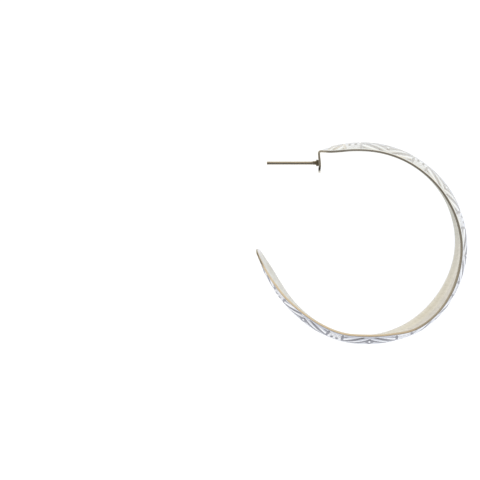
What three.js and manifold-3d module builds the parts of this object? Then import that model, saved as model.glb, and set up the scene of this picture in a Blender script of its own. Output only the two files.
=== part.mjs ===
// A hoop earring for a pierced ear: a strip of domed sheet silver bent into an open C.
// One end is a free rounded tip. The other is a plain strap, bent square into a tab that
// carries a straight post. It is all one piece of metal, because the post is soldered on.
// Millimetres. The hoop lies on its side: X and Y are in its plane and +Z is up, so the
// strip stands on its lower edge. The origin is under the middle of the box round it.
import * as THREE from "three";
import { mergeVertices } from "three/addons/utils/BufferGeometryUtils.js";
import Module from "manifold-3d";

const wasm = await Module();
wasm.setup();

// ---- driving dimensions ----

const FULL_WIDTH = 6.5;            // width of the strip over its full part
const FULL_SHEET = 0.6;            // thickness of the rolled and patterned strip
const STRAP_WIDTH = 3.0;           // width of the plain strap, the bend and the tab
const STRAP_SHEET = 0.48;          // thickness where the strip is filed plain

// The strip from its free tip round to its strap. An angle is counted from +X towards +Y, and
// a radius reaches from the middle of the hoop to the middle of the strip's chord. The dome is
// how far the face bulges out over that chord. The roll turns the face up, towards +Z.
const STRIP = [
  { angle: -176.9, radius: 24.24, width: 1.9, dome: 0.10, roll: -20, sheet: 0.45 },
  { angle: -174, radius: 23.75, width: 2.6, dome: 0.22, roll: -20, sheet: 0.5 },
  { angle: -170, radius: 23.12, width: 3.7, dome: 0.50, roll: -19, sheet: 0.55 },
  { angle: -165, radius: 22.41, width: 4.8, dome: 0.93, roll: -17, sheet: FULL_SHEET },
  { angle: -157, radius: 21.71, width: 6.1, dome: 1.13, roll: -12, sheet: FULL_SHEET },
  { angle: -150, radius: 21.35, width: FULL_WIDTH, dome: 1.28, roll: -9.3, sheet: FULL_SHEET },
  { angle: -135, radius: 20.84, width: FULL_WIDTH, dome: 1.43, roll: -2.7, sheet: FULL_SHEET },
  { angle: -120, radius: 20.73, width: FULL_WIDTH, dome: 1.58, roll: 1, sheet: FULL_SHEET },
  { angle: -105, radius: 20.84, width: FULL_WIDTH, dome: 1.58, roll: 2.5, sheet: FULL_SHEET },
  { angle: -90, radius: 20.80, width: FULL_WIDTH, dome: 1.65, roll: 5.5, sheet: FULL_SHEET },
  { angle: -75, radius: 20.91, width: FULL_WIDTH, dome: 1.67, roll: -0.5, sheet: FULL_SHEET },
  { angle: -60, radius: 21.30, width: FULL_WIDTH, dome: 1.57, roll: -12, sheet: FULL_SHEET },
  { angle: -45, radius: 21.28, width: FULL_WIDTH, dome: 1.65, roll: -15, sheet: FULL_SHEET },
  { angle: -30, radius: 21.18, width: FULL_WIDTH, dome: 1.63, roll: -12, sheet: FULL_SHEET },
  { angle: -15, radius: 21.10, width: FULL_WIDTH, dome: 1.66, roll: -6, sheet: FULL_SHEET },
  { angle: 0, radius: 21.06, width: FULL_WIDTH, dome: 1.66, roll: -1.5, sheet: FULL_SHEET },
  { angle: 15, radius: 20.90, width: FULL_WIDTH, dome: 1.65, roll: 2.5, sheet: FULL_SHEET },
  { angle: 30, radius: 20.78, width: FULL_WIDTH, dome: 1.69, roll: 6.1, sheet: FULL_SHEET },
  { angle: 50, radius: 20.65, width: FULL_WIDTH, dome: 1.70, roll: 7.4, sheet: FULL_SHEET },
  { angle: 70, radius: 20.70, width: FULL_WIDTH, dome: 1.72, roll: 6.5, sheet: FULL_SHEET },
  { angle: 90, radius: 20.94, width: FULL_WIDTH, dome: 1.62, roll: 5, sheet: FULL_SHEET },
  { angle: 100, radius: 21.25, width: 6.4, dome: 1.48, roll: 4.5, sheet: FULL_SHEET },
  { angle: 105, radius: 21.49, width: 5.7, dome: 1.34, roll: 4, sheet: FULL_SHEET },
  { angle: 107, radius: 21.64, width: 5.15, dome: 1.26, roll: 4, sheet: 0.58 },
  { angle: 109.5, radius: 21.89, width: 4.5, dome: 1.10, roll: 4, sheet: 0.56 },
  { angle: 111, radius: 22.10, width: 4.0, dome: 0.80, roll: 4, sheet: 0.53 },
  { angle: 113, radius: 22.49, width: 3.5, dome: 0.50, roll: 4, sheet: 0.5 },
];

// The plain strap runs on from there and turns down into the tab. The points are on the face
// that looks out, and the tab's tongue end is round.
const STRAP_Y = 20.76;             // the strap's outer face
const STRAP_ROLL = 4;
const TAB_X = -10.48;              // the tab's face towards the post, at the bend
const TAB_ROLL = -4;
const BEND_RADIUS = 0.65;          // of the outer face round the bend
const TAB = [
  // drop below the strap's outer face, and shift along X from the tab's face at the bend
  { drop: 1.7, shift: 0.07 },
  { drop: 2.6, shift: 0.17 },
  { drop: 3.4, shift: 0.21 },
  { drop: 4.2, shift: 0.11 },
  { drop: 5.05, shift: 0.10 },
];

// The post stands on the tab. Its head is a flange like a flat cone, a neck and a collar.
const POST = {
  drop: 2.87,                      // below the strap's outer face
  end: -21.86,                     // X of the free end
  radius: 0.38,
  bevel: 0.1,                      // round the free end
  seat: -0.12,                     // from the tab's face at the bend to the flange's back
  slope: 0.05,                     // length of the slopes between the head's steps
  flange: { radius: 0.8, rim: 0.14, length: 0.36, bevel: 0.08 },
  neck: { radius: 0.42, length: 0.12, flare: 0.1 },
  collar: { radius: 0.44, length: 0.55 },
};

// ---- mesh resolution ----

const STEP_DEG = 2.5;              // between the strip's sections
const ARC_PARTS = 12;              // across the domed face
const BEND_PARTS = 8;
const ROUND_PARTS = 5;             // sections that round off each end
const BLUNT = 0.4;                 // of a section left off at the very tip
const TURN_PARTS = 28;             // round the post
const FLAT_RADIUS = 1000;          // stands for a flat face
const MERGE_WITHIN = 1e-5;

const silver = new THREE.MeshStandardMaterial({ color: 0xd9d8d4, roughness: 0.3, metalness: 1 });

// A smooth curve through a table's column, by the neighbouring rows' slopes.
function columnAt(rows, key, name, at) {
  let i = 0;
  while (i < rows.length - 2 && at > rows[i + 1][key]) i += 1;
  const slope = (k) => {
    const a = rows[Math.max(k - 1, 0)];
    const b = rows[Math.min(k + 1, rows.length - 1)];
    return (b[name] - a[name]) / (b[key] - a[key]);
  };
  const span = rows[i + 1][key] - rows[i][key];
  const u = (at - rows[i][key]) / span;
  const h1 = u * u * (3 - 2 * u);
  const pull = span * (u * (1 - u) * (1 - u) * slope(i) - u * u * (1 - u) * slope(i + 1));
  return rows[i][name] * (1 - h1) + rows[i + 1][name] * h1 + pull;
}

// The sections of the whole strip, from the free tip to the end of the tab: where the middle
// of the outer face's chord is, how wide and domed the section is, and how it is rolled.
function stripSections() {
  const sections = [];
  const first = STRIP[0].angle;
  const last = STRIP[STRIP.length - 1].angle;
  const steps = Math.round((last - first) / STEP_DEG);
  for (let i = 0; i <= steps; i += 1) {
    const angle = first + ((last - first) * i) / steps;
    const row = {};
    for (const name of ["radius", "width", "dome", "roll", "sheet"]) {
      row[name] = columnAt(STRIP, "angle", name, angle);
    }
    const turn = THREE.MathUtils.degToRad(angle);
    sections.push({ x: row.radius * Math.cos(turn), y: row.radius * Math.sin(turn), ...row });
  }
  const flat = { width: STRAP_WIDTH, dome: 0, sheet: STRAP_SHEET };
  for (let i = 0; i <= BEND_PARTS; i += 1) {
    const part = i / BEND_PARTS;
    const turn = (Math.PI / 2) * (1 + part);
    sections.push({
      x: TAB_X + BEND_RADIUS * (1 + Math.cos(turn)),
      y: STRAP_Y - BEND_RADIUS * (1 - Math.sin(turn)),
      roll: THREE.MathUtils.lerp(STRAP_ROLL, TAB_ROLL, part),
      ...flat,
    });
  }
  for (const { drop, shift } of TAB) {
    sections.push({ x: TAB_X + shift, y: STRAP_Y - drop, roll: TAB_ROLL, ...flat });
  }
  return sections;
}

// An end is rounded off by sections that narrow along a half circle as wide as the strip.
function roundOff(sections) {
  const ends = (list) => {
    const [end, next] = list;
    const reach = end.width / 2;
    const run = Math.hypot(end.x - next.x, end.y - next.y);
    const rounded = [];
    for (let i = ROUND_PARTS; i >= 1; i -= 1) {
      const turn = (Math.PI / 2) * (i / (ROUND_PARTS + BLUNT));
      const along = (reach * (Math.sin(turn) - 1)) / run;
      const width = end.width * Math.cos(turn);
      const narrower = width / end.width;
      rounded.push({
        ...end,
        x: end.x + (end.x - next.x) * along,
        y: end.y + (end.y - next.y) * along,
        width,
        dome: end.dome * narrower * narrower,
      });
    }
    const clear = list.filter((s) => Math.hypot(s.x - end.x, s.y - end.y) > reach);
    return [...rounded, ...clear];
  };
  return ends(ends(sections).reverse()).reverse();
}

// The closed outline of one section as points [out, up] about the middle of the outer chord:
// along the domed outer face from the lower edge to the upper one, and back along the inside.
function outline(width, dome, sheet) {
  const points = [];
  const half = width / 2;
  const radius = dome > 0 ? (half * half + dome * dome) / (2 * dome) : FLAT_RADIUS;
  const reach = Math.asin(half / radius);
  for (const [inset, sign] of [[0, 1], [sheet, -1]]) {
    for (let i = 0; i <= ARC_PARTS; i += 1) {
      const turn = sign * reach * ((2 * i) / ARC_PARTS - 1);
      points.push([
        (radius - inset) * Math.cos(turn) - radius * Math.cos(reach),
        (radius - inset) * Math.sin(turn),
      ]);
    }
  }
  return points;
}

// Skins rings of points that follow each other, and closes both ends with a fan.
function skin(rings) {
  const count = rings[0].length;
  const positions = rings.flat(2);
  const faces = [];
  for (let r = 0; r + 1 < rings.length; r += 1) {
    for (let i = 0; i < count; i += 1) {
      const a = r * count + i;
      const b = r * count + ((i + 1) % count);
      faces.push(a, b + count, b, a, a + count, b + count);
    }
  }
  for (const [ring, flip] of [[0, false], [rings.length - 1, true]]) {
    for (let i = 0; i < ARC_PARTS; i += 1) {
      const a = ring * count + i;
      const d = ring * count + count - 1 - i;
      const quad = [a, d - 1, d, a, a + 1, d - 1];
      faces.push(...(flip ? quad.reverse() : quad));
    }
  }
  const geometry = new THREE.BufferGeometry();
  geometry.setAttribute("position", new THREE.Float32BufferAttribute(positions, 3));
  geometry.setIndex(faces);
  return geometry;
}

function stripGeometry() {
  const sections = roundOff(stripSections());
  const rings = sections.map((section, i) => {
    const before = sections[Math.max(i - 1, 0)];
    const after = sections[Math.min(i + 1, sections.length - 1)];
    const unit = (from, to) => {
      const run = Math.hypot(to.x - from.x, to.y - from.y) || 1;
      return [(to.x - from.x) / run, (to.y - from.y) / run];
    };
    const [ax, ay] = unit(before, section);
    const [bx, by] = unit(section, after);
    const run = Math.hypot(ax + bx, ay + by);
    const outX = (ay + by) / run;
    const outY = -(ax + bx) / run;
    const roll = THREE.MathUtils.degToRad(section.roll);
    const middle = (FULL_WIDTH / 2) * Math.cos(roll);
    return outline(section.width, section.dome, section.sheet).map(([out, up]) => {
      const away = out * Math.cos(roll) - up * Math.sin(roll);
      const z = out * Math.sin(roll) + up * Math.cos(roll) + middle;
      return [section.x + outX * away, section.y + outY * away, z];
    });
  });
  return skin(rings);
}

// The post and its head are turned about the post's own axis. The head's back is set into the
// tab, where the solder joins them.
function postGeometry() {
  const { radius, bevel, seat, slope, flange, neck, collar, end } = POST;
  const back = TAB_X + STRAP_SHEET;
  const flangeBack = TAB_X + seat;
  const flangeFront = flangeBack - flange.length;
  const neckFront = flangeFront - neck.length;
  const collarFront = neckFront - collar.length;
  const stations = [
    [0, back],
    [flange.radius - flange.bevel, back],
    [flange.radius - flange.bevel, flangeBack],
    [flange.radius, flangeBack - flange.rim / 2],
    [flange.radius - flange.bevel, flangeBack - flange.rim],
    [neck.radius + neck.flare, flangeFront],
    [neck.radius, flangeFront - slope],
    [neck.radius, neckFront],
    [collar.radius, neckFront - slope],
    [collar.radius, collarFront],
    [radius, collarFront - slope],
    [radius, end + bevel],
    [radius - bevel, end],
    [0, end],
  ];
  const profile = stations.map(([r, x]) => new THREE.Vector2(r, x));
  const geometry = new THREE.LatheGeometry(profile.reverse(), TURN_PARTS);
  geometry.rotateZ(-Math.PI / 2);
  geometry.translate(0, STRAP_Y - POST.drop, FULL_WIDTH / 2);
  return geometry;
}

function solid(geometry) {
  const bare = geometry.clone();
  for (const name of ["normal", "uv"]) bare.deleteAttribute(name);
  const merged = mergeVertices(bare, MERGE_WITHIN);
  return new wasm.Manifold(new wasm.Mesh({
    numProp: 3,
    vertProperties: new Float32Array(merged.attributes.position.array),
    triVerts: new Uint32Array(merged.index.array),
  }));
}

function geometryOf(manifold) {
  const mesh = manifold.getMesh();
  const geometry = new THREE.BufferGeometry();
  geometry.setAttribute("position", new THREE.BufferAttribute(mesh.vertProperties, 3));
  geometry.setIndex(new THREE.BufferAttribute(mesh.triVerts, 1));
  geometry.computeVertexNormals();
  return geometry;
}

const metal = solid(stripGeometry()).add(solid(postGeometry()));
const earring = new THREE.Mesh(geometryOf(metal), silver);
earring.name = "hoop_earring";

const box = new THREE.Box3().setFromObject(earring);
const centre = box.getCenter(new THREE.Vector3());
earring.position.set(-centre.x, -centre.y, -box.min.z);

const hoopEarring = new THREE.Group();
hoopEarring.add(earring);

export default hoopEarring;
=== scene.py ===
import math

import bpy
import numpy as np
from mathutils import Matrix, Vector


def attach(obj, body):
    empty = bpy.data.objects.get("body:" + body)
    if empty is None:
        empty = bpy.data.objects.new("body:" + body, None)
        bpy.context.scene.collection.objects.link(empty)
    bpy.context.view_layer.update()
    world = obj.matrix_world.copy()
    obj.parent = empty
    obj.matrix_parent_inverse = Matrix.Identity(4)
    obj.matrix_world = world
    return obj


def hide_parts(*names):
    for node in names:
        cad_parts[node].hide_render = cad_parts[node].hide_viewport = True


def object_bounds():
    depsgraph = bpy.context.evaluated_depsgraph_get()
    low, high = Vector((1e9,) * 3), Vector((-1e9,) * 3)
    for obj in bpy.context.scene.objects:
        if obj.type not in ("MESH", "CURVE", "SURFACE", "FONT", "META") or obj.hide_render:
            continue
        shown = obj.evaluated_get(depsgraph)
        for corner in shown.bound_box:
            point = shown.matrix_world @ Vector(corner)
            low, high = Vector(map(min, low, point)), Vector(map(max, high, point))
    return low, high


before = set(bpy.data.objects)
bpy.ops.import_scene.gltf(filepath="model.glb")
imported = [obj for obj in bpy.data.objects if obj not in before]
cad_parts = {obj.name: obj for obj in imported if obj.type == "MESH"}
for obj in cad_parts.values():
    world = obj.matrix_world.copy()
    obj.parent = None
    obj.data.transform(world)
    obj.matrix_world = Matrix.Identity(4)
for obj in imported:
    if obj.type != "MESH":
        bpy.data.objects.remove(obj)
cad_low, cad_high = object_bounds()


# ---- the patterned strip ----
# One length of domed sheet silver, bent round a mandrel by hand. Waves, leaves and dots are
# rolled into its outer face, and its free tip is cut to a long taper. Past the pattern it is
# filed down to a plain flat strap, which is bent square into the tab.

# Sizes are in millimetres and angles in degrees. The rows run round the hoop from the free tip.
MM = 0.001
FULL_WIDTH = 6.5
STRAP_WIDTH = 3.0
STRAP_SHEET = 0.48
STRIP_COLUMNS = ("angle", "radius", "width", "dome", "roll", "sheet")
STRIP = [
    (-176.9, 24.24, 1.9, 0.10, -20, 0.45),
    (-174, 23.75, 2.6, 0.22, -20, 0.5),
    (-170, 23.12, 3.7, 0.50, -19, 0.55),
    (-165, 22.41, 4.8, 0.93, -17, 0.6),
    (-157, 21.71, 6.1, 1.13, -12, 0.6),
    (-150, 21.35, 6.5, 1.28, -9.3, 0.6),
    (-135, 20.84, 6.5, 1.43, -2.7, 0.6),
    (-120, 20.73, 6.5, 1.58, 1, 0.6),
    (-105, 20.84, 6.5, 1.58, 2.5, 0.6),
    (-90, 20.80, 6.5, 1.65, 5.5, 0.6),
    (-75, 20.91, 6.5, 1.67, -0.5, 0.6),
    (-60, 21.30, 6.5, 1.57, -12, 0.6),
    (-45, 21.28, 6.5, 1.65, -15, 0.6),
    (-30, 21.18, 6.5, 1.63, -12, 0.6),
    (-15, 21.10, 6.5, 1.66, -6, 0.6),
    (0, 21.06, 6.5, 1.66, -1.5, 0.6),
    (15, 20.90, 6.5, 1.65, 2.5, 0.6),
    (30, 20.78, 6.5, 1.69, 6.1, 0.6),
    (50, 20.65, 6.5, 1.70, 7.4, 0.6),
    (70, 20.70, 6.5, 1.72, 6.5, 0.6),
    (90, 20.94, 6.5, 1.62, 5, 0.6),
    (100, 21.25, 6.4, 1.48, 4.5, 0.6),
    (105, 21.49, 5.7, 1.34, 4, 0.6),
    (107, 21.64, 5.15, 1.26, 4, 0.58),
    (109.5, 21.89, 4.5, 1.10, 4, 0.56),
    (111, 22.10, 4.0, 0.80, 4, 0.53),
    (113, 22.49, 3.5, 0.50, 4, 0.5),
]
STRAP_Y = 20.76
STRAP_ROLL = 4
TAB_X = -10.48
TAB_ROLL = -4
BEND_RADIUS = 0.65
TAB_COLUMNS = ("drop", "shift")
TAB = [(0.65, 0.0), (1.7, 0.07), (2.6, 0.17), (3.4, 0.21), (4.2, 0.11), (5.05, 0.10)]
HOOP_POINTS = 1200
BEND_POINTS = 25
TAB_POINTS = 40

# The pattern is charted on the flat strip, in millimetres along it from the middle of a motif
# and across it from the crest. It is the same on both sides of the crest and of the middle.
# A panel with two pits parts each motif from the next. Two panels are pressed less deep: each
# is given by the motif before it, with the share of the depth that its pits keep.
MOTIF_MIDDLES = (3.5, 18.55, 33.6, 48.65, 63.5, 78.7, 93.95, 109.2)
MOTIF_HALF = 5.88
MOTIF_FADE = 0.3
PANEL_HALF = 1.67
PATTERN_END = 107.2
PATTERN_FADE = 0.4
RIDGE_HEIGHT = 0.05
GROOVE_DEPTH = 0.12
PIT_DEPTH = 0.18
GROOVES = {
    "end bar": ([(5.88, 0.0), (5.82, 1.6), (5.92, 3.35)], [0.15, 0.26, 0.24]),
    "wedge": ([(5.7, 1.36), (4.2, 2.12), (3.05, 2.71), (1.9, 3.18), (1.0, 3.46)],
              [0.18, 0.34, 0.34, 0.2, 0.04]),
    "corner": ([(5.85, 2.9), (5.2, 3.17), (4.5, 3.43)], [0.14, 0.09, 0.02]),
    "inner band": ([(4.6, 0.72), (3.5, 1.1), (2.6, 1.46), (1.57, 1.9), (0.86, 2.25), (0.0, 2.75)],
                   [0.12, 0.26, 0.33, 0.3, 0.28, 0.28]),
    "crest line": ([(0.0, 0.0), (5.2, 0.0)], [0.14, 0.1]),
}
RIDGES = {
    "leaf": ([(5.4, 2.33), (4.2, 2.9), (3.1, 3.34), (2.2, 3.6)], [0.25, 0.29, 0.27, 0.2]),
    "wave": ([(3.75, 1.5), (2.95, 1.87), (1.95, 2.32), (0.86, 2.86), (0.0, 3.3)],
             [0.1, 0.19, 0.2, 0.17, 0.14]),
}
DIAMOND = {"middle": (0.0, 1.85), "along": 1.0, "across": 1.2}
DIAMOND_EDGE = 0.9, 1.1
DOT = {"middle": (0.0, 2.04), "along": 0.25, "across": 0.48}
FACET = {"middle": (1.5, 0.4), "along": 0.6, "across": 0.55}
PIT = {"middle": (MOTIF_HALF + 1.1, 1.8), "along": 0.28, "across": 0.52}
SHALLOW_PANELS = {2: 0.15, 4: 0.45}
BEADS = [(MOTIF_HALF + 0.36, 1.84), (MOTIF_HALF + PANEL_HALF, 1.84)]
BEAD_RADIUS = 0.24
SPOT_EDGE = 0.7, 1.3
SCROLLS = [(MOTIF_HALF + 0.62, 2.86), (MOTIF_HALF + PANEL_HALF, 2.74)]
SCROLL_RADIUS = 0.34
SCROLL_LINE = 0.03, 0.12
SCROLL_SHARE = 0.4
STROKE_EDGE = -0.06, 0.08
STROKE_PARTS = 8

# The mesh is fine enough for the pattern, and coarser on the strap and inside.
STATION_STEP = 0.118
STRAP_STEP = 0.3
END_STEPS = 12
END_TURN = 84
ACROSS_PARTS = 70
INSIDE_PARTS = 8

# The edges are filed to a narrow lip that slopes inwards, whatever way the strip is rolled.
# The narrow ends are filed flat, and the relief dies away towards the lips.
LIP_COLUMNS = ("angle", "lip")
LIPS = [(-176.9, 0.36), (-150, 0.44), (-120, 0.49), (-78, 0.51), (-62, 0.45), (-50, 0.43),
        (-38, 0.48), (-20, 0.56), (5, 0.52), (25, 0.49), (50, 0.45), (100, 0.45), (109.5, 0.47),
        (113, 0.48)]
LIP_SLOPE = 23
LIP_FLAT_WIDTH = 3.2
LIP_SLOPED_WIDTH = 4.8
LIP_DEPTH = 0.12
NARROW_HALF = 1.2
FLATTEST_DOME = 1e-4
OUTER_CORNER = 0.06
INNER_CORNER = 0.10
CORNER_OF_HALF = 0.3
CORNER_OF_SIDE = 0.45
CORNER_SHARES = (1 / 3, 2 / 3, 1), (0, 1 / 3, 2 / 3, 1)
SHORTEST_SIDE = 1e-9
GROOVE_FADE = 0.03, 0.25
RIDGE_FADE = 0.03, 0.7

# How filed each of the lip's points looks, from the face to the inside, and how far soldering
# has coloured the metal, from the tab's end.
LIP_MASK = (0.6, 1.0, 1.0, 1.0, 1.0, 0.8, 0.3)
HEAT_REACH = 10.0, 11.8
FACE_HEAT_REACH = 4.2, 5.2
TARNISH_REACH = 1.0, 1.8
END_REACH = 0.15, 0.75


def smooth(keys, values, at):
    """A smooth curve through a table's column, by the slopes between neighbouring rows."""
    keys, values = np.asarray(keys, float), np.asarray(values, float)
    slopes = np.gradient(values, keys)
    slopes[1:-1] = (values[2:] - values[:-2]) / (keys[2:] - keys[:-2])
    i = np.clip(np.searchsorted(keys, at, side="right") - 1, 0, len(keys) - 2)
    span = keys[i + 1] - keys[i]
    u = (at - keys[i]) / span
    blend = u * u * (3 - 2 * u)
    pull = u * (1 - u) ** 2 * slopes[i] - u * u * (1 - u) * slopes[i + 1]
    return values[i] * (1 - blend) + values[i + 1] * blend + span * pull


def step(low, high, values):
    """0 below low, 1 above high, and smooth between."""
    u = np.clip((values - low) / (high - low), 0, 1)
    return u * u * (3 - 2 * u)


def strip_route():
    """The strip's middle from its tip to the tab's end, as columns at close steps."""
    table = dict(zip(STRIP_COLUMNS, np.array(STRIP, float).T))
    lips = dict(zip(LIP_COLUMNS, np.array(LIPS, float).T))
    angle = np.linspace(table["angle"][0], table["angle"][-1], HOOP_POINTS)
    hoop = {name: smooth(table["angle"], table[name], angle) for name in STRIP_COLUMNS}
    hoop["lip"] = smooth(lips["angle"], lips["lip"], angle)
    hoop["x"] = hoop["radius"] * np.cos(np.radians(angle))
    hoop["y"] = hoop["radius"] * np.sin(np.radians(angle))
    turn = np.linspace(math.pi / 2, math.pi, BEND_POINTS)
    bend = {
        "x": TAB_X + BEND_RADIUS * (1 + np.cos(turn)),
        "y": STRAP_Y - BEND_RADIUS * (1 - np.sin(turn)),
        "roll": np.linspace(STRAP_ROLL, TAB_ROLL, len(turn)),
    }
    rows = dict(zip(TAB_COLUMNS, np.array(TAB).T))
    drop = np.linspace(rows["drop"][0], rows["drop"][-1], TAB_POINTS)[1:]
    tab = {
        "x": TAB_X + smooth(rows["drop"], rows["shift"], drop),
        "y": STRAP_Y - drop,
        "roll": np.full(len(drop), float(TAB_ROLL)),
    }
    for flat in (bend, tab):
        size = np.ones(len(flat["x"]))
        flat.update(width=STRAP_WIDTH * size, dome=0.0 * size, sheet=STRAP_SHEET * size,
                    lip=STRAP_SHEET * size)
    names = ("x", "y", "width", "dome", "roll", "sheet", "lip")
    return {name: np.concatenate([part[name] for part in (hoop, bend, tab)]) for name in names}


def strip_stations():
    """Evenly spaced sections, closer together where the two ends are rounded off."""
    route = strip_route()
    along = np.hypot(np.diff(route["x"]), np.diff(route["y"])).cumsum()
    along = np.concatenate([[0], along])
    length = along[-1]
    tip_reach, tab_reach = route["width"][0] / 2, route["width"][-1] / 2
    turn = np.radians(np.linspace(END_TURN, 0, END_STEPS, endpoint=False))
    start = tip_reach * (1 - np.sin(turn))
    end = length - tab_reach * (1 - np.sin(turn))
    patterned = np.arange(tip_reach, PATTERN_END, STATION_STEP)
    plain = np.arange(PATTERN_END, length - tab_reach, STRAP_STEP)
    at = np.concatenate([start, patterned, plain, end[::-1]])
    stations = {name: np.interp(at, along, values) for name, values in route.items()}
    for reach, gone in ((tip_reach, at), (tab_reach, length - at)):
        rounding = np.sqrt(np.clip(1 - (1 - np.clip(gone / reach, 0, 1)) ** 2, 0, 1))
        stations["width"] = stations["width"] * rounding
        stations["dome"] = stations["dome"] * rounding**2
    ahead = np.gradient(stations["x"], at), np.gradient(stations["y"], at)
    run = np.hypot(*ahead)
    stations.update(along=at, out_x=ahead[1] / run, out_y=-ahead[0] / run)
    return stations


def stroke(along, across, points, widths):
    """1 on a tapering stroke through the points, and 0 a little way off it."""
    points = np.array(points, float)
    key = np.arange(len(points), dtype=float)
    fine = np.linspace(0, len(points) - 1, STROKE_PARTS * (len(points) - 1) + 1)
    xs, ys = (smooth(key, column, fine) for column in points.T)
    half = smooth(key, np.array(widths), fine)
    best = np.full(along.shape, -np.inf)
    for i in range(len(fine) - 1):
        dx, dy = xs[i + 1] - xs[i], ys[i + 1] - ys[i]
        u = ((along - xs[i]) * dx + (across - ys[i]) * dy) / (dx * dx + dy * dy)
        u = np.clip(u, 0, 1)
        gap = np.hypot(along - xs[i] - u * dx, across - ys[i] - u * dy)
        best = np.maximum(best, half[i] + u * (half[i + 1] - half[i]) - gap)
    return step(*STROKE_EDGE, best)


def spot(x, y, middle, along, across):
    """1 in an ellipse about the middle, with its radii along and across the strip."""
    gap = np.hypot((x - middle[0]) / along, (y - middle[1]) / across)
    return 1 - step(*SPOT_EDGE, gap)


def rolled_pattern(along, across):
    """Where the relief's grooves and ridges and the ground of its motifs are."""
    middles = np.array(MOTIF_MIDDLES)
    x = np.abs(along[..., None] - middles).min(-1)
    y = np.abs(across)
    groove = np.zeros(x.shape)
    for points, widths in GROOVES.values():
        groove = np.maximum(groove, stroke(x, y, points, widths))
    (mx, my), half_along, half_across = DIAMOND.values()
    gap = np.abs(x - mx) / half_along + np.abs(y - my) / half_across
    groove = np.maximum(groove, 1 - step(*DIAMOND_EDGE, gap))
    pit = spot(x, y, **PIT)
    for motif, share in SHALLOW_PANELS.items():
        panel_gap = np.abs(along - (middles[motif] + middles[motif + 1]) / 2)
        pit = np.where(panel_gap < PANEL_HALF, pit * share, pit)
    groove = np.maximum(groove, PIT_DEPTH / GROOVE_DEPTH * pit)
    for mx, my in SCROLLS:
        ring = np.abs(np.hypot(x - mx, y - my) - SCROLL_RADIUS)
        groove = np.maximum(groove, SCROLL_SHARE * (1 - step(*SCROLL_LINE, ring)))
    ridge = np.zeros(x.shape)
    for points, widths in RIDGES.values():
        ridge = np.maximum(ridge, stroke(x, y, points, widths))
    for part in (DOT, FACET):
        ridge = np.maximum(ridge, spot(x, y, **part))
    for middle in BEADS:
        ridge = np.maximum(ridge, spot(x, y, middle, BEAD_RADIUS, BEAD_RADIUS))
    groove = groove * (1 - ridge)
    ground = 1 - step(MOTIF_HALF - MOTIF_FADE, MOTIF_HALF, x)
    return groove, ridge, ground


def on_dome(radius, reach, angle, depth):
    """Points at an angle from the crest, as their height over the edges' chord and along it."""
    height = (radius - depth) * np.cos(angle) - radius * np.cos(reach)
    return np.stack([height, (radius - depth) * np.sin(angle)], axis=-1)


def rounded_lip(first, outer, inner, last):
    """Points from the face's end to the inside's, round the two corners of an edge."""
    def towards(start, goal, run):
        way = goal - start
        size = np.maximum(np.linalg.norm(way, axis=-1, keepdims=True), SHORTEST_SIDE)
        return start + way * np.minimum(run / size, CORNER_OF_SIDE)

    points = []
    bends = [(towards(outer, first, OUTER_CORNER), outer, towards(outer, inner, OUTER_CORNER)),
             (towards(inner, outer, INNER_CORNER), inner, towards(inner, last, INNER_CORNER))]
    for (a, b, c), shares in zip(bends, CORNER_SHARES):
        points += [a * (1 - u) ** 2 + b * 2 * u * (1 - u) + c * u * u for u in shares]
    return np.stack(points, axis=1)


def filed_lip(s, radius, reach, limit, side):
    """The points of one edge, 1 upper and -1 lower, and the angle at which the inside ends."""
    half = s["width"] / 2
    small = np.minimum(1, half / NARROW_HALF)
    tilt = math.radians(LIP_SLOPE) * step(LIP_FLAT_WIDTH, LIP_SLOPED_WIDTH, s["width"])
    slope = tilt - side * np.radians(s["roll"])
    lip_up = half - s["lip"] * np.tan(slope) * small
    inner_radius = radius - s["sheet"]
    inner_up = np.minimum(inner_radius * np.sin(reach), lip_up - LIP_DEPTH * small)
    inner_limit = np.arcsin(inner_up / inner_radius)
    first = on_dome(radius, reach, side * limit, 0)
    outer = np.stack([0 * half, side * half], axis=-1)
    inner = np.stack([-s["lip"], side * lip_up], axis=-1)
    last = on_dome(radius, reach, side * inner_limit, s["sheet"])
    return rounded_lip(first, outer, inner, last), inner_limit


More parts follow.
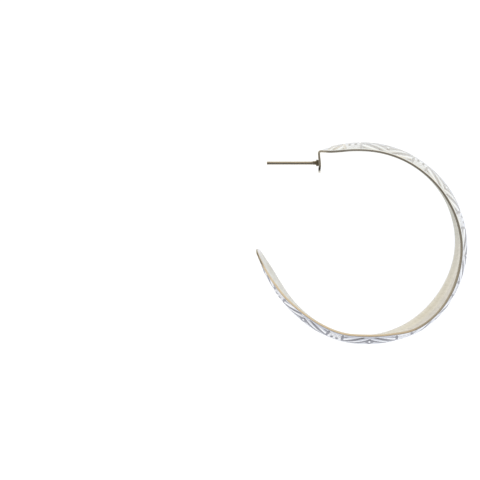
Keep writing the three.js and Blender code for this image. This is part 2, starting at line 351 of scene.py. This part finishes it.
def strip_mesh():
    """The strip as rings of points round each station, with masks for its finish."""
    s = strip_stations()
    half = s["width"] / 2
    dome = np.maximum(s["dome"], FLATTEST_DOME * half)
    radius = (half**2 + dome**2) / (2 * dome)
    reach = np.arcsin(np.clip(half / radius, -1, 1))
    limit = reach - np.minimum(OUTER_CORNER, CORNER_OF_HALF * half) / radius
    upper_lip, upper_end = filed_lip(s, radius, reach, limit, 1)
    lower_lip, lower_end = filed_lip(s, radius, reach, limit, -1)

    across_share = np.linspace(-1, 1, ACROSS_PARTS + 1)
    angle = limit[:, None] * across_share
    across = radius[:, None] * angle
    along = s["along"][:, None] * np.ones_like(across)
    groove, ridge, ground = rolled_pattern(along, across)
    edge_gap = (radius * limit)[:, None] - np.abs(across)
    kept = 1 - step(PATTERN_END - PATTERN_FADE, PATTERN_END, along)
    kept = kept * step(*GROOVE_FADE, edge_gap)
    height = RIDGE_HEIGHT * ridge * step(*RIDGE_FADE, edge_gap)
    depth = (GROOVE_DEPTH * groove - height) * kept
    face = on_dome(radius[:, None], reach[:, None], angle, depth)
    inside_share = np.linspace(1, -1, INSIDE_PARTS + 1)
    angle = np.where(inside_share > 0, upper_end[:, None], lower_end[:, None]) * inside_share
    inside = on_dome(radius[:, None], reach[:, None], angle, s["sheet"][:, None])

    section = np.concatenate([face, upper_lip, inside, lower_lip[:, ::-1]], axis=1)
    out, up = section[..., 0], section[..., 1]
    roll = np.radians(s["roll"])[:, None]
    away = out * np.cos(roll) - up * np.sin(roll)
    rings = np.stack([
        s["x"][:, None] + s["out_x"][:, None] * away,
        s["y"][:, None] + s["out_y"][:, None] * away,
        out * np.sin(roll) + up * np.cos(roll) + FULL_WIDTH / 2 * np.cos(roll),
    ], axis=-1)

    on_face = slice(0, face.shape[1])
    names = ("recess", "raised", "field", "cut_edge", "inside")
    masks = {name: np.zeros(rings.shape[:2]) for name in names}
    masks["recess"][:, on_face] = groove * kept
    masks["raised"][:, on_face] = ridge * kept
    masks["field"][:, on_face] = ground * kept
    inside_start = face.shape[1] + len(LIP_MASK)
    inside_stop = inside_start + inside.shape[1]
    masks["cut_edge"][:, face.shape[1]:inside_start] = LIP_MASK
    masks["inside"][:, inside_start:inside_stop] = 1
    masks["cut_edge"][:, inside_stop:] = LIP_MASK[::-1]
    gone = (s["along"][-1] - s["along"])[:, None] * np.ones(rings.shape[:2])
    masks["heated"] = step(*END_REACH, gone) * (1 - step(*HEAT_REACH, gone))
    masks["heated"][:, on_face] *= 1 - step(*FACE_HEAT_REACH, gone[:, on_face])
    masks["tarnish"] = step(*END_REACH, gone) * (1 - step(*TARNISH_REACH, gone))
    lay = np.stack([s["along"][:, None] * np.ones(rings.shape[:2]), up, out], axis=-1)
    return rings, masks, lay


def mesh_from_rings(name, rings):
    """Skins rings of points that follow each other, and closes both ends."""
    count, size = rings.shape[:2]
    a = np.arange(count - 1)[:, None] * size + np.arange(size)
    b = np.arange(count - 1)[:, None] * size + (np.arange(size) + 1) % size
    quads = np.stack([a, a + size, b + size, b], axis=-1).reshape(-1, 4)
    faces = quads.tolist()
    faces.append(list(range(size)))
    faces.append(list(range(count * size - 1, (count - 1) * size - 1, -1)))
    mesh = bpy.data.meshes.new(name)
    mesh.from_pydata((rings.reshape(-1, 3) * MM).tolist(), [], faces)
    mesh.validate()
    mesh.shade_smooth()
    piece = bpy.data.objects.new(name, mesh)
    bpy.context.scene.collection.objects.link(piece)
    return piece


def add_mask(piece, name, values):
    """Keeps one number for each of the piece's points, for its material to read."""
    layer = piece.data.attributes.new(name, "FLOAT", "POINT")
    layer.data.foreach_set("value", values.ravel().astype(np.float32))


# The hoop's middle is where the strip fills the CAD model's box and stands on its floor.
strip_rings, strip_masks, strip_lay = strip_mesh()
strip_low, strip_high = strip_rings.min((0, 1)), strip_rings.max((0, 1))
hoop_middle = np.array((cad_low + cad_high) / 2 / MM) - (strip_low + strip_high) / 2
hoop_middle[2] = cad_low.z / MM - strip_low[2]
strip = mesh_from_rings("silver_strip", strip_rings + hoop_middle)
for name, values in strip_masks.items():
    add_mask(strip, name, values)
layer = strip.data.attributes.new("lay", "FLOAT_VECTOR", "POINT")
layer.data.foreach_set("vector", strip_lay.ravel().astype(np.float32))


NOISE_DETAIL = 2.0


class Signal:
    """A shader socket. Operators on it add Math nodes, and node() adds any other node."""

    def __init__(self, tree, socket=None):
        self.tree = tree
        self.socket = socket

    def node(self, kind, settings, sockets, output=0):
        made = self.tree.nodes.new(kind)
        for name, value in settings.items():
            setattr(made, name, value)
        for key, value in sockets.items():
            if isinstance(value, Signal):
                self.tree.links.new(value.socket, made.inputs[key])
            else:
                made.inputs[key].default_value = value
        return Signal(self.tree, made.outputs[output] if made.outputs else None)

    def math(self, operation, first, second):
        return self.node("ShaderNodeMath", {"operation": operation}, {0: first, 1: second})

    def __add__(self, other):
        return self.math("ADD", self, other)

    def __sub__(self, other):
        return self.math("SUBTRACT", self, other)

    def __rsub__(self, other):
        return self.math("SUBTRACT", other, self)

    def __mul__(self, other):
        return self.math("MULTIPLY", self, other)

    __radd__ = __add__
    __rmul__ = __mul__

    def between(self, low, high):
        """0 at low, 1 at high, and smooth between. Low may be the larger."""
        sockets = {"Value": self, "From Min": low, "From Max": high}
        return self.node("ShaderNodeMapRange", {"interpolation_type": "SMOOTHSTEP"}, sockets)

    def mix(self, first, second):
        """The first colour where this is 0, the second where it is 1."""
        sockets = {0: self, 6: first, 7: second}
        return self.node("ShaderNodeMix", {"data_type": "RGBA"}, sockets, 2)

    def attribute(self, name, output="Fac"):
        return self.node("ShaderNodeAttribute", {"attribute_name": name}, {}, output)

    def axis(self, number):
        return self.node("ShaderNodeSeparateXYZ", {}, {"Vector": self}, number)

    def noise(self, grain):
        """Soft noise over this place, finer along an axis whose grain is larger."""
        spread = self.node("ShaderNodeVectorMath", {"operation": "MULTIPLY"}, {0: self, 1: grain})
        sockets = {"Vector": spread, "Scale": 1.0, "Detail": NOISE_DETAIL}
        return self.node("ShaderNodeTexNoise", {}, sockets, "Fac")


def empty_tree(owner):
    """Clears the nodes of a material or a world, and returns a Signal to add others with."""
    owner.use_nodes = True
    owner.node_tree.nodes.clear()
    return Signal(owner.node_tree)


# The outer face: polished, with dull grooves that are painted lighter towards the strap, as
# painted light from the lit side.
BRIGHT = (0.78, 0.79, 0.81, 1)
WORN = (0.88, 0.89, 0.91, 1)
MATT = (0.72, 0.73, 0.755, 1)
DULL = (0.58, 0.59, 0.64, 1)
PAINTED_LIGHT_GROOVES = (0.83, 0.85, 0.89, 1)
PAINTED_LIGHT_GROOVES_FROM = 66.0, 82.0
PAINTED_LIGHT_GROOVES_END = (0.96, 0.955, 0.94, 1)
PAINTED_LIGHT_GROOVES_END_FROM = 101.0, 103.5
PITTED = (0.71, 0.72, 0.74, 1)
EDGE_TINT = (0.82, 0.83, 0.86, 1)
RECESS_EDGE = 0.05, 0.6
PIT_EDGE = 1.0, 1.4

# The inside: satin with slanted scratches, turning tan after its first third and greyer past the
# middle. Its lower edge is painted lighter, as painted light.
SATIN = (0.76, 0.765, 0.745, 1)
TANNED = (0.715, 0.681, 0.615, 1)
TANNED_PAINTED_LIGHT = (0.835, 0.797, 0.717, 1)
TANNED_FROM = 28.0, 44.0
PAINTED_LIGHT_EDGE = -2.0, -1.3
GREYED = (0.65, 0.65, 0.575, 1)
GREYED_FROM = 62.0, 88.0
SCRATCHED = (0.62, 0.60, 0.53, 1)
SCRATCHED_SHARE = 0.2
SCRATCH_ANGLE = math.radians(35)
SCRATCH_EDGE = 0.4, 0.7
TIP_FACE = (0.86, 0.855, 0.88, 1)
TIP_RUN = 1.7, 0.5

# The filed lips have one stretch of painted shade. The soldering flame has coloured the strap and
# the tab, and less so the bend between them, which is counted from the tab's end.
FILED = (0.71, 0.68, 0.61, 1)
FILED_PAINTED_SHADE = (0.60, 0.56, 0.49, 1)
FILED_PAINTED_SHADE_RUN = (37.5, 41.5), (50.0, 45.0)
TIP_LIP = (0.49, 0.46, 0.38, 1)
HEATED = (0.42, 0.39, 0.325, 1)
HEATED_BEND = (0.72, 0.685, 0.585, 1)
HEATED_BEND_RUN = (3.9, 4.8), (7.2, 6.2)
TARNISHED = (0.10, 0.10, 0.075, 1)

# Marks by how fine they are along the strip, across it and through it. The cloud's drift is how
# far it moves a change of colour along the strip. Each finish adds its roughness to the
# polish, and grooves and heated silver look less metallic.
SCRATCH_GRAIN = (4.0, 0.35, 0.35)
FILING_GRAIN = (1.2, 12.0, 12.0)
CLOUD_GRAIN = (0.3, 0.3, 0.3)
CLOUD_DRIFT = 12.0
ROUGHNESS = {"polish": 0.2, "satin": 0.2, "scratches": 0.14, "grooves": 0.6, "filing": 0.16,
             "heat": 0.3}
GROOVE_DULLING = 0.5
HEAT_DULLING = 0.8
MARK_STRENGTH = 0.3
MARK_DEPTH = 0.02 * MM
FILING_SHARE = 0.5


def rolled_silver(length):
    """The strip's finish, by its masks and by its lay: each point's place on the flat strip."""
    material = bpy.data.materials.new("rolled_silver")
    start = empty_tree(material)
    recess, raised, field = map(start.attribute, ("recess", "raised", "field"))
    cut_edge, inside = map(start.attribute, ("cut_edge", "inside"))
    heat, tarnish = map(start.attribute, ("heated", "tarnish"))
    lay = start.attribute("lay", "Vector")
    along, up = lay.axis(0), lay.axis(1)
    slanted = start.node("ShaderNodeVectorRotate", {"rotation_type": "Z_AXIS"},
                         {"Vector": lay, "Angle": SCRATCH_ANGLE})
    scratches = slanted.noise(SCRATCH_GRAIN)
    filing = lay.noise(FILING_GRAIN)
    drifting = along + lay.noise(CLOUD_GRAIN) * CLOUD_DRIFT

    in_groove = recess.between(*RECESS_EDGE)
    # Painted light: the grooves are painted lighter towards the strap, and near white by the
    # pattern's end.
    grooved = drifting.between(*PAINTED_LIGHT_GROOVES_FROM).mix(DULL, PAINTED_LIGHT_GROOVES)
    grooved = along.between(*PAINTED_LIGHT_GROOVES_END_FROM).mix(grooved, PAINTED_LIGHT_GROOVES_END)
    colour = raised.mix(field.mix(BRIGHT, MATT), WORN)
    colour = in_groove.mix(colour, grooved)
    colour = recess.between(*PIT_EDGE).mix(colour, PITTED)

    tip = along.between(*TIP_RUN)
    # Painted light: the inside is painted lighter towards its lower edge.
    tan_and_painted_light = up.between(*PAINTED_LIGHT_EDGE).mix(TANNED_PAINTED_LIGHT, TANNED)
    satin = along.between(*TANNED_FROM).mix(SATIN, tan_and_painted_light)
    satin = drifting.between(*GREYED_FROM).mix(satin, GREYED)
    satin = (scratches.between(*SCRATCH_EDGE) * SCRATCHED_SHARE).mix(satin, SCRATCHED)
    colour = inside.mix(colour, tip.mix(satin, TIP_FACE))

    # Painted shade: one stretch of the filed lips is painted darker.
    dark_start, dark_end = FILED_PAINTED_SHADE_RUN
    filed = (along.between(*dark_start) * along.between(*dark_end)).mix(FILED, FILED_PAINTED_SHADE)
    colour = cut_edge.mix(colour, tip.mix(filed, TIP_LIP))

    gone = length - along
    bend_start, bend_end = HEATED_BEND_RUN
    heated = (gone.between(*bend_start) * gone.between(*bend_end)).mix(HEATED, HEATED_BEND)
    colour = tarnish.mix(heat.mix(colour, heated), TARNISHED)

    rough = ROUGHNESS["polish"] + in_groove * ROUGHNESS["grooves"] + heat * ROUGHNESS["heat"]
    rough = rough + inside * (ROUGHNESS["satin"] + scratches * ROUGHNESS["scratches"])
    rough = rough + cut_edge * (filing * ROUGHNESS["filing"])
    marks = scratches * inside + filing * cut_edge * FILING_SHARE
    bump = start.node("ShaderNodeBump", {}, {
        "Strength": MARK_STRENGTH, "Distance": MARK_DEPTH, "Height": marks})
    shader = start.node("ShaderNodeBsdfPrincipled", {}, {
        "Base Color": colour, "Roughness": rough, "Specular Tint": EDGE_TINT, "Normal": bump,
        "Metallic": (1 - in_groove * GROOVE_DULLING) * (1 - heat * HEAT_DULLING)})
    start.node("ShaderNodeOutputMaterial", {}, {"Surface": shader})
    return material


strip.data.materials.append(rolled_silver(float(strip_lay[..., 0].max())))
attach(strip, "root")
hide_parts("hoop_earring")


# ---- the ear post ----
# A straight round wire with a head turned on it: a flange like a flat cone, a neck and a short
# collar. The flange is soldered to the tab's face, and the flame has tarnished the head.

# The post's middle is this far below the strap. Each row of the head is a ring's radius, its
# place along the post and how tarnished it is there.
SOLDER_DROP = 2.87
WIRE_RADIUS = 0.38
WIRE_START = TAB_X - 2.25
WIRE_END = -21.86
WIRE_END_GAP = 0.4
WIRE_ROUND = 0.12
WIRE_END_TARNISH = 0.15
COLLAR_FRONT = TAB_X - 1.15
HEAD = [
    (0.62, TAB_X + 0.34, 0.0),
    (0.67, TAB_X + 0.02, 0.0),
    (0.70, TAB_X - 0.13, 0.1),
    (0.79, TAB_X - 0.18, 1.0),
    (0.82, TAB_X - 0.22, 1.0),
    (0.79, TAB_X - 0.26, 1.0),
    (0.70, TAB_X - 0.32, 1.0),
    (0.58, TAB_X - 0.38, 1.0),
    (0.49, TAB_X - 0.44, 1.0),
    (0.44, TAB_X - 0.49, 1.0),
    (0.42, TAB_X - 0.53, 1.0),
    (0.43, TAB_X - 0.59, 0.8),
    (0.44, TAB_X - 0.65, 0.6),
    (0.44, TAB_X - 0.78, 0.5),
    (0.44, COLLAR_FRONT + 0.09, 0.6),
    (0.425, COLLAR_FRONT + 0.04, 0.6),
    (0.39, COLLAR_FRONT, 0.5),
    (WIRE_RADIUS, COLLAR_FRONT - 0.04, 0.4),
    (WIRE_RADIUS, COLLAR_FRONT - 0.18, 0.3),
    (WIRE_RADIUS, COLLAR_FRONT - 0.6, 0.1),
]
HEAD_ASIDE = 0.05
HEAD_FADE = 0.2
WIRE_STEP = 0.5
ROUND_STEPS = 8
TURN_PARTS = 64


def post_rings():
    """The post's outline turned about its middle, with how tarnished each ring is."""
    wire = np.arange(WIRE_START, WIRE_END + WIRE_END_GAP, -WIRE_STEP)
    stations = HEAD + [(WIRE_RADIUS, x, 0.0) for x in wire]
    for turn in np.radians(np.linspace(0, END_TURN, ROUND_STEPS)):
        inwards = WIRE_ROUND * (1 - math.cos(turn))
        ahead = WIRE_ROUND * (1 - math.sin(turn))
        stations.append((WIRE_RADIUS - inwards, WIRE_END + ahead, WIRE_END_TARNISH))
    radius, x, tarnish = (column[:, None] for column in np.array(stations).T)
    turn = np.arange(TURN_PARTS) * 2 * math.pi / TURN_PARTS
    aside = HEAD_ASIDE * step(COLLAR_FRONT - HEAD_FADE, COLLAR_FRONT, x)
    across = STRAP_Y - SOLDER_DROP + aside + radius * np.cos(turn)
    up = FULL_WIDTH / 2 + radius * np.sin(turn)
    return np.stack([x + 0 * turn, across, up], axis=-1), tarnish + 0 * turn


# The grain is counted over metres here, and the drawn lines are finest across the wire. The
# tarnish has a least share, and the cloud adds up to the other.
WIRE_SHADES = (0.505, 0.46, 0.385, 1), (0.58, 0.54, 0.465, 1)
HEAD_TARNISHED = (0.14, 0.11, 0.065, 1)
TARNISH_CLOUD = 0.7, 0.6
DRAWN_GRAIN = (300, 9000, 9000)
TINT_GRAIN = (900, 900, 900)
WIRE_ROUGHNESS = {"polish": 0.13, "drawn lines": 0.1, "tarnish": 0.27}
LINE_STRENGTH = 0.12


def drawn_silver():
    """Silver drawn into wire: fine lines along it, and tarnish where its mask says."""
    material = bpy.data.materials.new("drawn_silver")
    start = empty_tree(material)
    tarnish = start.attribute("tarnish")
    place = start.node("ShaderNodeTexCoord", {}, {}, "Object")
    lines = place.noise(DRAWN_GRAIN)
    cloud = place.noise(TINT_GRAIN)
    least, added = TARNISH_CLOUD
    colour = cloud.mix(*WIRE_SHADES)
    colour = (tarnish * (least + cloud * added)).mix(colour, HEAD_TARNISHED)
    rough = WIRE_ROUGHNESS["polish"] + lines * WIRE_ROUGHNESS["drawn lines"]
    rough = rough + tarnish * WIRE_ROUGHNESS["tarnish"]
    bump = start.node("ShaderNodeBump", {}, {
        "Strength": LINE_STRENGTH, "Distance": MARK_DEPTH, "Height": lines})
    shader = start.node("ShaderNodeBsdfPrincipled", {}, {
        "Base Color": colour, "Metallic": 1.0, "Roughness": rough, "Normal": bump})
    start.node("ShaderNodeOutputMaterial", {}, {"Surface": shader})
    return material


rings, tarnish = post_rings()
post = mesh_from_rings("ear_post", rings + hoop_middle)
add_mask(post, "tarnish", tarnish)
post.data.materials.append(drawn_silver())
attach(post, "root")
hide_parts("hoop_earring")


# ---- the floor, the light and the camera ----
# A pale table in a plain studio, with white walls that are dimmer at the front. The ceiling is
# darker, with a black middle, and lit warm at the far right.

# The table's sizes are in metres. Its colour turns cooler to the right and warmer to the back.
FLOOR_HALF = 0.6
FLOOR_BASE = (0.35, 0.35, 0.35, 1)
FLOOR_ROUGHNESS = 0.8
PLAIN_FLOOR = (0.945, 0.95, 0.965, 1)
COOL_FLOOR = (0.93, 0.955, 1.0, 1)
COOL_FROM = -0.01, 0.02
WARM_FLOOR = (0.925, 0.93, 0.91, 1)
WARM_FROM = 0.0, 0.035


def pale_floor():
    """The square table top. It glows, which keeps it pale close to the piece."""
    mesh = bpy.data.meshes.new("floor")
    half = FLOOR_HALF
    corners = [(-half, -half, 0), (half, -half, 0), (half, half, 0), (-half, half, 0)]
    mesh.from_pydata(corners, [], [(0, 1, 2, 3)])
    floor = bpy.data.objects.new("floor", mesh)
    bpy.context.scene.collection.objects.link(floor)
    material = bpy.data.materials.new("pale_table")
    start = empty_tree(material)
    place = start.node("ShaderNodeTexCoord", {}, {}, "Object")
    glow = place.axis(0).between(*COOL_FROM).mix(PLAIN_FLOOR, COOL_FLOOR)
    glow = place.axis(1).between(*WARM_FROM).mix(glow, WARM_FLOOR)
    shader = start.node("ShaderNodeBsdfPrincipled", {}, {
        "Base Color": FLOOR_BASE, "Roughness": FLOOR_ROUGHNESS,
        "Emission Color": glow, "Emission Strength": 1.0})
    start.node("ShaderNodeOutputMaterial", {}, {"Surface": shader})
    mesh.materials.append(material)
    return floor


# The studio's shade depends on direction alone. A way is how much x and y count towards it, and
# each pair of limits says where a shade starts and where it is full.
WALL_WAY = 0.2, 0.9
WALL_FADE = -0.5, 0.45
WALL_SHADES = (0.585, 0.60, 0.66, 1), (1.05, 1.05, 0.975, 1)
FRONT_WALL = (0.75, 0.77, 0.84, 1)
FRONT_FADE = -0.78, -0.96
CEILING_WAY = 0.53, 0.85
CEILING_FADE = -0.68, 0.05
CEILING_SHADES = (0.205, 0.19, 0.16, 1), (0.56, 0.495, 0.40, 1)
WARM_CEILING = (1.05, 0.83, 0.565, 1)
WARM_FADE = 0.40, 0.66
CEILING_FROM = 0.44, 0.66
DARK_MIDDLE = (0.06, 0.055, 0.045, 1)
DARK_MIDDLE_FROM = 0.80, 0.93


def studio():
    """The walls, and the ceiling above them, as the world's light."""
    world = bpy.data.worlds.new("studio")
    bpy.context.scene.world = world
    start = empty_tree(world)
    direction = start.node("ShaderNodeTexCoord", {}, {}, "Generated")
    x, y, z = (direction.axis(number) for number in range(3))
    wall_side = x * WALL_WAY[0] + y * WALL_WAY[1]
    ceiling_side = x * CEILING_WAY[0] + y * CEILING_WAY[1]
    wall = wall_side.between(*WALL_FADE).mix(*WALL_SHADES)
    wall = y.between(*FRONT_FADE).mix(wall, FRONT_WALL)
    ceiling = ceiling_side.between(*CEILING_FADE).mix(*CEILING_SHADES)
    ceiling = ceiling_side.between(*WARM_FADE).mix(ceiling, WARM_CEILING)
    sky = z.between(*CEILING_FROM).mix(wall, ceiling)
    sky = z.between(*DARK_MIDDLE_FROM).mix(sky, DARK_MIDDLE)
    background = start.node("ShaderNodeBackground", {}, {"Color": sky, "Strength": 1.0})
    start.node("ShaderNodeOutputWorld", {}, {"Surface": background})


# The camera looks straight down, from left of the hoop. Its place is in millimetres from the
# hoop's middle, and its height from the table.
CAMERA_ASIDE = -27.83
CAMERA_AHEAD = 0.77
CAMERA_HEIGHT = 270.5
LENS = 90
NEAREST_SEEN = 0.01


def camera():
    """The camera over the table."""
    data = bpy.data.cameras.new("camera")
    data.lens = LENS
    data.clip_start = NEAREST_SEEN
    made = bpy.data.objects.new("camera", data)
    made.location = (
        (hoop_middle[0] + CAMERA_ASIDE) * MM,
        (hoop_middle[1] + CAMERA_AHEAD) * MM,
        CAMERA_HEIGHT * MM,
    )
    bpy.context.scene.collection.objects.link(made)
    bpy.context.scene.camera = made


pale_floor()
studio()
camera()
bpy.context.scene.view_settings.view_transform = "Standard"
